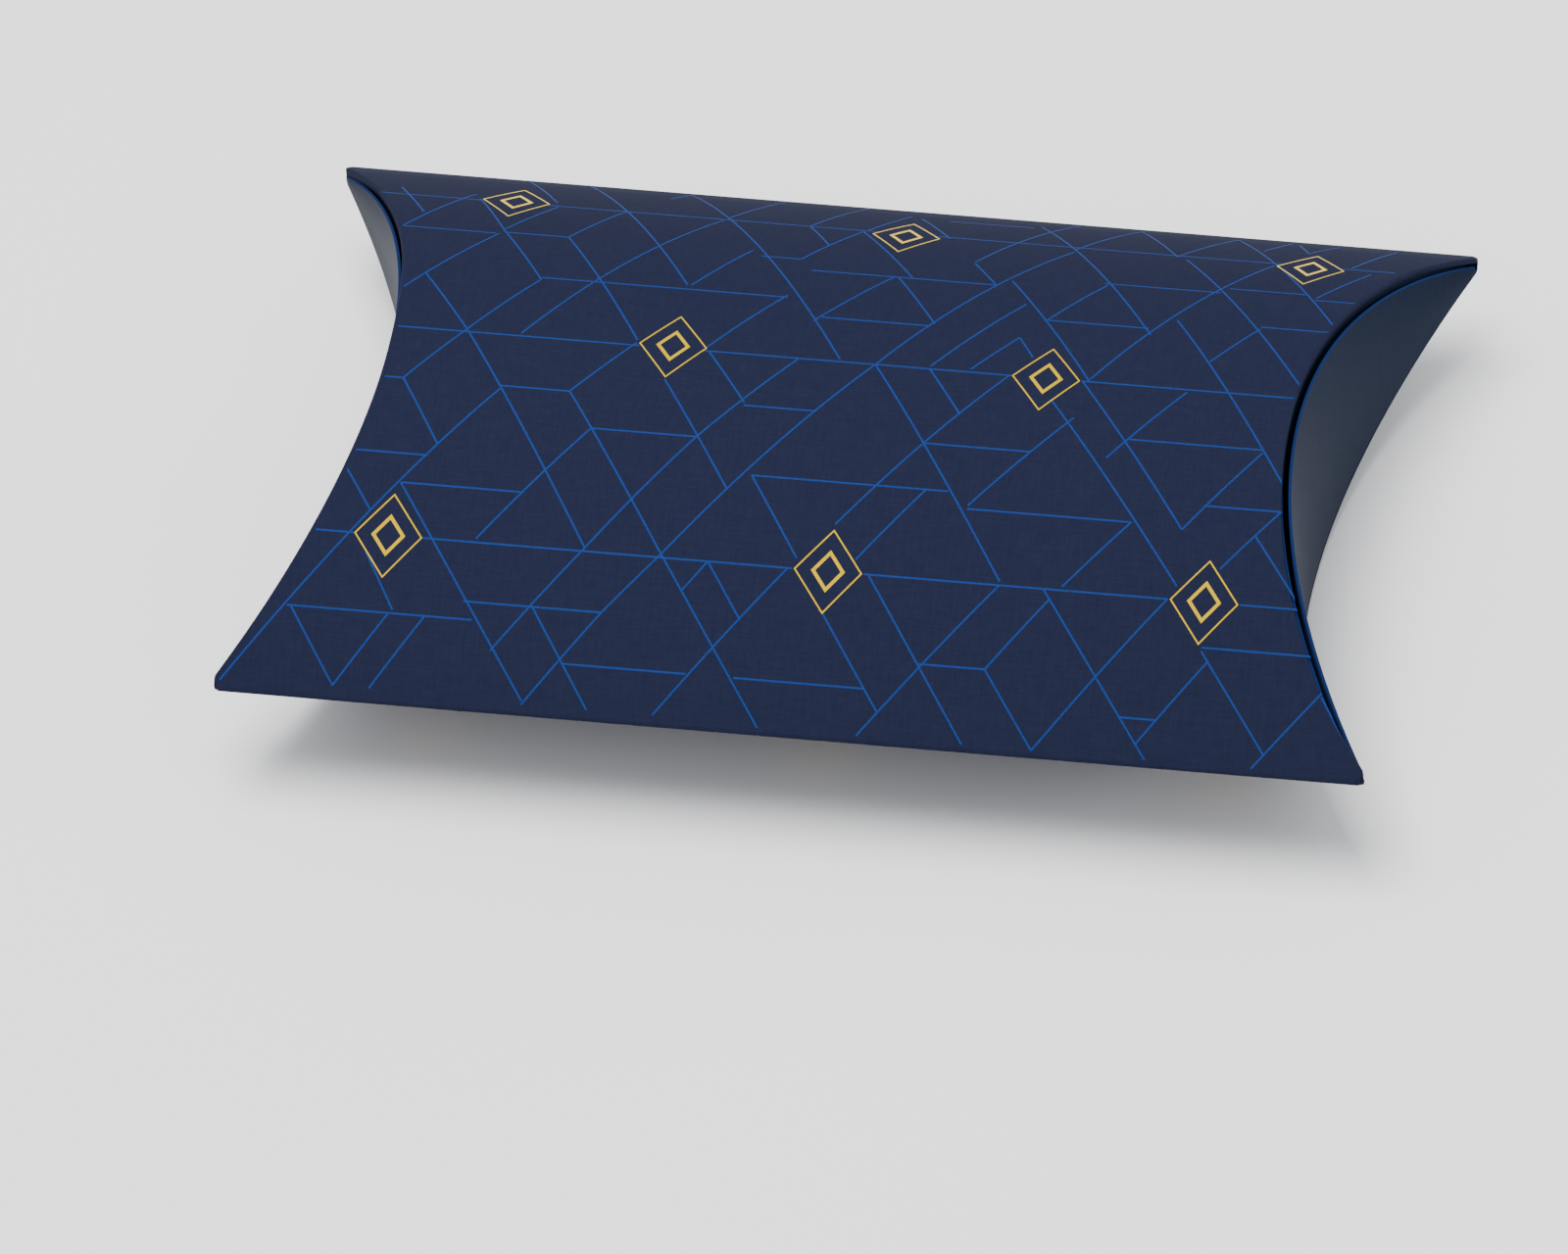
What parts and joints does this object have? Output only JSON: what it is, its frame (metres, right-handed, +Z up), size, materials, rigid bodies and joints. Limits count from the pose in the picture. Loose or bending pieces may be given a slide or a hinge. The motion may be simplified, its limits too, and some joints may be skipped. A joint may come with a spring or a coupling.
{
  "type": "pillow box",
  "caption": "Creased card pillow box with bulging panels, straight side folds and curved end flaps that fold open.",
  "frame": {"origin": "on the ground under the middle of the box, on the flat of the lower panel", "axes": "+X along the box between its ends, +Y towards the glued side fold, +Z up"},
  "size_m": [0.1584, 0.1004, 0.035],
  "materials": {
    "printed_card": "matt laminated card, navy, printed with hairlines and foil lozenges",
    "plain_card": "satin laminated card, plain navy",
    "inside_card": "uncoated card, dyed blue"
  },
  "bodies": {
    "sleeve": {"top_panel": "printed_card", "bottom_panel": "printed_card", "glue_flap": "inside_card"},
    "outer_flap_right_strip_4": {"outer_flap_right_strip_4": "plain_card"},
    "outer_flap_right_strip_5": {"outer_flap_right_strip_5": "plain_card"},
    "outer_flap_right_strip_6": {"outer_flap_right_strip_6": "plain_card"},
    "outer_flap_right_strip_7": {"outer_flap_right_strip_7": "plain_card"},
    "outer_flap_right_strip_3": {"outer_flap_right_strip_3": "plain_card"},
    "outer_flap_right_strip_2": {"outer_flap_right_strip_2": "plain_card"},
    "outer_flap_right_strip_1": {"outer_flap_right_strip_1": "plain_card"},
    "inner_flap_right_strip_4": {"inner_flap_right_strip_4": "inside_card"},
    "inner_flap_right_strip_5": {"inner_flap_right_strip_5": "inside_card"},
    "inner_flap_right_strip_6": {"inner_flap_right_strip_6": "inside_card"},
    "inner_flap_right_strip_7": {"inner_flap_right_strip_7": "inside_card"},
    "inner_flap_right_strip_3": {"inner_flap_right_strip_3": "inside_card"},
    "inner_flap_right_strip_2": {"inner_flap_right_strip_2": "inside_card"},
    "inner_flap_right_strip_1": {"inner_flap_right_strip_1": "inside_card"},
    "outer_flap_left_strip_4": {"outer_flap_left_strip_4": "plain_card"},
    "outer_flap_left_strip_5": {"outer_flap_left_strip_5": "plain_card"},
    "outer_flap_left_strip_6": {"outer_flap_left_strip_6": "plain_card"},
    "outer_flap_left_strip_7": {"outer_flap_left_strip_7": "plain_card"},
    "outer_flap_left_strip_3": {"outer_flap_left_strip_3": "plain_card"},
    "outer_flap_left_strip_2": {"outer_flap_left_strip_2": "plain_card"},
    "outer_flap_left_strip_1": {"outer_flap_left_strip_1": "plain_card"},
    "inner_flap_left_strip_4": {"inner_flap_left_strip_4": "inside_card"},
    "inner_flap_left_strip_5": {"inner_flap_left_strip_5": "inside_card"},
    "inner_flap_left_strip_6": {"inner_flap_left_strip_6": "inside_card"},
    "inner_flap_left_strip_7": {"inner_flap_left_strip_7": "inside_card"},
    "inner_flap_left_strip_3": {"inner_flap_left_strip_3": "inside_card"},
    "inner_flap_left_strip_2": {"inner_flap_left_strip_2": "inside_card"},
    "inner_flap_left_strip_1": {"inner_flap_left_strip_1": "inside_card"}
  },
  "joints": [
    {"name": "right_end_open", "type": "hinge", "parent": "sleeve", "child": "outer_flap_right_strip_4", "pos_m": [0.06262, 0, 0.00092], "axis": [0, 1, 0], "range_deg": [0, 90]},
    {"name": "outer_flap_right_bend_5", "type": "hinge", "parent": "outer_flap_right_strip_4", "child": "outer_flap_right_strip_5", "pos_m": [0.06359, 0.00769, 0.0175], "axis": [0, 0, 1], "range_deg": [0, 21.83]},
    {"name": "outer_flap_right_bend_6", "type": "hinge", "parent": "outer_flap_right_strip_5", "child": "outer_flap_right_strip_6", "pos_m": [0.0665, 0.02278, 0.0175], "axis": [0, 0, 1], "range_deg": [0, 21.83]},
    {"name": "outer_flap_right_bend_7", "type": "hinge", "parent": "outer_flap_right_strip_6", "child": "outer_flap_right_strip_7", "pos_m": [0.0722, 0.03706, 0.0175], "axis": [0, 0, 1], "range_deg": [0, 21.83]},
    {"name": "outer_flap_right_bend_3", "type": "hinge", "parent": "outer_flap_right_strip_4", "child": "outer_flap_right_strip_3", "pos_m": [0.06359, -0.00769, 0.0175], "axis": [0, 0, -1], "range_deg": [0, 21.83]},
    {"name": "outer_flap_right_bend_2", "type": "hinge", "parent": "outer_flap_right_strip_3", "child": "outer_flap_right_strip_2", "pos_m": [0.0665, -0.02278, 0.0175], "axis": [0, 0, -1], "range_deg": [0, 21.83]},
    {"name": "outer_flap_right_bend_1", "type": "hinge", "parent": "outer_flap_right_strip_2", "child": "outer_flap_right_strip_1", "pos_m": [0.0722, -0.03706, 0.0175], "axis": [0, 0, -1], "range_deg": [0, 21.83]},
    {"name": "right_end_inner_fold", "type": "hinge", "parent": "sleeve", "child": "inner_flap_right_strip_4", "pos_m": [0.06137, 0, 0.03407], "axis": [0, -1, 0], "range_deg": [0, 90]},
    {"name": "inner_flap_right_bend_5", "type": "hinge", "parent": "inner_flap_right_strip_4", "child": "inner_flap_right_strip_5", "pos_m": [0.06234, 0.00769, 0.0175], "axis": [0, 0, 1], "range_deg": [0, 21.83]},
    {"name": "inner_flap_right_bend_6", "type": "hinge", "parent": "inner_flap_right_strip_5", "child": "inner_flap_right_strip_6", "pos_m": [0.06525, 0.02278, 0.0175], "axis": [0, 0, 1], "range_deg": [0, 21.83]},
    {"name": "inner_flap_right_bend_7", "type": "hinge", "parent": "inner_flap_right_strip_6", "child": "inner_flap_right_strip_7", "pos_m": [0.07095, 0.03706, 0.0175], "axis": [0, 0, 1], "range_deg": [0, 21.83]},
    {"name": "inner_flap_right_bend_3", "type": "hinge", "parent": "inner_flap_right_strip_4", "child": "inner_flap_right_strip_3", "pos_m": [0.06234, -0.00769, 0.0175], "axis": [0, 0, -1], "range_deg": [0, 21.83]},
    {"name": "inner_flap_right_bend_2", "type": "hinge", "parent": "inner_flap_right_strip_3", "child": "inner_flap_right_strip_2", "pos_m": [0.06525, -0.02278, 0.0175], "axis": [0, 0, -1], "range_deg": [0, 21.83]},
    {"name": "inner_flap_right_bend_1", "type": "hinge", "parent": "inner_flap_right_strip_2", "child": "inner_flap_right_strip_1", "pos_m": [0.07095, -0.03706, 0.0175], "axis": [0, 0, -1], "range_deg": [0, 21.83]},
    {"name": "left_end_open", "type": "hinge", "parent": "sleeve", "child": "outer_flap_left_strip_4", "pos_m": [-0.06262, 0, 0.00092], "axis": [0, -1, 0], "range_deg": [0, 90]},
    {"name": "outer_flap_left_bend_5", "type": "hinge", "parent": "outer_flap_left_strip_4", "child": "outer_flap_left_strip_5", "pos_m": [-0.06359, 0.00769, 0.0175], "axis": [0, 0, -1], "range_deg": [0, 21.83]},
    {"name": "outer_flap_left_bend_6", "type": "hinge", "parent": "outer_flap_left_strip_5", "child": "outer_flap_left_strip_6", "pos_m": [-0.0665, 0.02278, 0.0175], "axis": [0, 0, -1], "range_deg": [0, 21.83]},
    {"name": "outer_flap_left_bend_7", "type": "hinge", "parent": "outer_flap_left_strip_6", "child": "outer_flap_left_strip_7", "pos_m": [-0.0722, 0.03706, 0.0175], "axis": [0, 0, -1], "range_deg": [0, 21.83]},
    {"name": "outer_flap_left_bend_3", "type": "hinge", "parent": "outer_flap_left_strip_4", "child": "outer_flap_left_strip_3", "pos_m": [-0.06359, -0.00769, 0.0175], "axis": [0, 0, 1], "range_deg": [0, 21.83]},
    {"name": "outer_flap_left_bend_2", "type": "hinge", "parent": "outer_flap_left_strip_3", "child": "outer_flap_left_strip_2", "pos_m": [-0.0665, -0.02278, 0.0175], "axis": [0, 0, 1], "range_deg": [0, 21.83]},
    {"name": "outer_flap_left_bend_1", "type": "hinge", "parent": "outer_flap_left_strip_2", "child": "outer_flap_left_strip_1", "pos_m": [-0.0722, -0.03706, 0.0175], "axis": [0, 0, 1], "range_deg": [0, 21.83]},
    {"name": "left_end_inner_fold", "type": "hinge", "parent": "sleeve", "child": "inner_flap_left_strip_4", "pos_m": [-0.06137, 0, 0.03407], "axis": [0, 1, 0], "range_deg": [0, 90]},
    {"name": "inner_flap_left_bend_5", "type": "hinge", "parent": "inner_flap_left_strip_4", "child": "inner_flap_left_strip_5", "pos_m": [-0.06234, 0.00769, 0.0175], "axis": [0, 0, -1], "range_deg": [0, 21.83]},
    {"name": "inner_flap_left_bend_6", "type": "hinge", "parent": "inner_flap_left_strip_5", "child": "inner_flap_left_strip_6", "pos_m": [-0.06525, 0.02278, 0.0175], "axis": [0, 0, -1], "range_deg": [0, 21.83]},
    {"name": "inner_flap_left_bend_7", "type": "hinge", "parent": "inner_flap_left_strip_6", "child": "inner_flap_left_strip_7", "pos_m": [-0.07095, 0.03706, 0.0175], "axis": [0, 0, -1], "range_deg": [0, 21.83]},
    {"name": "inner_flap_left_bend_3", "type": "hinge", "parent": "inner_flap_left_strip_4", "child": "inner_flap_left_strip_3", "pos_m": [-0.06234, -0.00769, 0.0175], "axis": [0, 0, 1], "range_deg": [0, 21.83]},
    {"name": "inner_flap_left_bend_2", "type": "hinge", "parent": "inner_flap_left_strip_3", "child": "inner_flap_left_strip_2", "pos_m": [-0.06525, -0.02278, 0.0175], "axis": [0, 0, 1], "range_deg": [0, 21.83]},
    {"name": "inner_flap_left_bend_1", "type": "hinge", "parent": "inner_flap_left_strip_2", "child": "inner_flap_left_strip_1", "pos_m": [-0.07095, -0.03706, 0.0175], "axis": [0, 0, 1], "range_deg": [0, 21.83]}
  ],
  "couplings": [
    {"joint": "outer_flap_right_bend_5", "follows": "right_end_open", "ratio": 0.24203},
    {"joint": "outer_flap_right_bend_6", "follows": "right_end_open", "ratio": 0.24203},
    {"joint": "outer_flap_right_bend_7", "follows": "right_end_open", "ratio": 0.24203},
    {"joint": "outer_flap_right_bend_3", "follows": "right_end_open", "ratio": 0.24203},
    {"joint": "outer_flap_right_bend_2", "follows": "right_end_open", "ratio": 0.24203},
    {"joint": "outer_flap_right_bend_1", "follows": "right_end_open", "ratio": 0.24203},
    {"joint": "right_end_inner_fold", "follows": "right_end_open", "ratio": 1},
    {"joint": "inner_flap_right_bend_5", "follows": "right_end_open", "ratio": 0.24203},
    {"joint": "inner_flap_right_bend_6", "follows": "right_end_open", "ratio": 0.24203},
    {"joint": "inner_flap_right_bend_7", "follows": "right_end_open", "ratio": 0.24203},
    {"joint": "inner_flap_right_bend_3", "follows": "right_end_open", "ratio": 0.24203},
    {"joint": "inner_flap_right_bend_2", "follows": "right_end_open", "ratio": 0.24203},
    {"joint": "inner_flap_right_bend_1", "follows": "right_end_open", "ratio": 0.24203},
    {"joint": "outer_flap_left_bend_5", "follows": "left_end_open", "ratio": 0.24203},
    {"joint": "outer_flap_left_bend_6", "follows": "left_end_open", "ratio": 0.24203},
    {"joint": "outer_flap_left_bend_7", "follows": "left_end_open", "ratio": 0.24203},
    {"joint": "outer_flap_left_bend_3", "follows": "left_end_open", "ratio": 0.24203},
    {"joint": "outer_flap_left_bend_2", "follows": "left_end_open", "ratio": 0.24203},
    {"joint": "outer_flap_left_bend_1", "follows": "left_end_open", "ratio": 0.24203},
    {"joint": "left_end_inner_fold", "follows": "left_end_open", "ratio": 1},
    {"joint": "inner_flap_left_bend_5", "follows": "left_end_open", "ratio": 0.24203},
    {"joint": "inner_flap_left_bend_6", "follows": "left_end_open", "ratio": 0.24203},
    {"joint": "inner_flap_left_bend_7", "follows": "left_end_open", "ratio": 0.24203},
    {"joint": "inner_flap_left_bend_3", "follows": "left_end_open", "ratio": 0.24203},
    {"joint": "inner_flap_left_bend_2", "follows": "left_end_open", "ratio": 0.24203},
    {"joint": "inner_flap_left_bend_1", "follows": "left_end_open", "ratio": 0.24203}
  ]
}
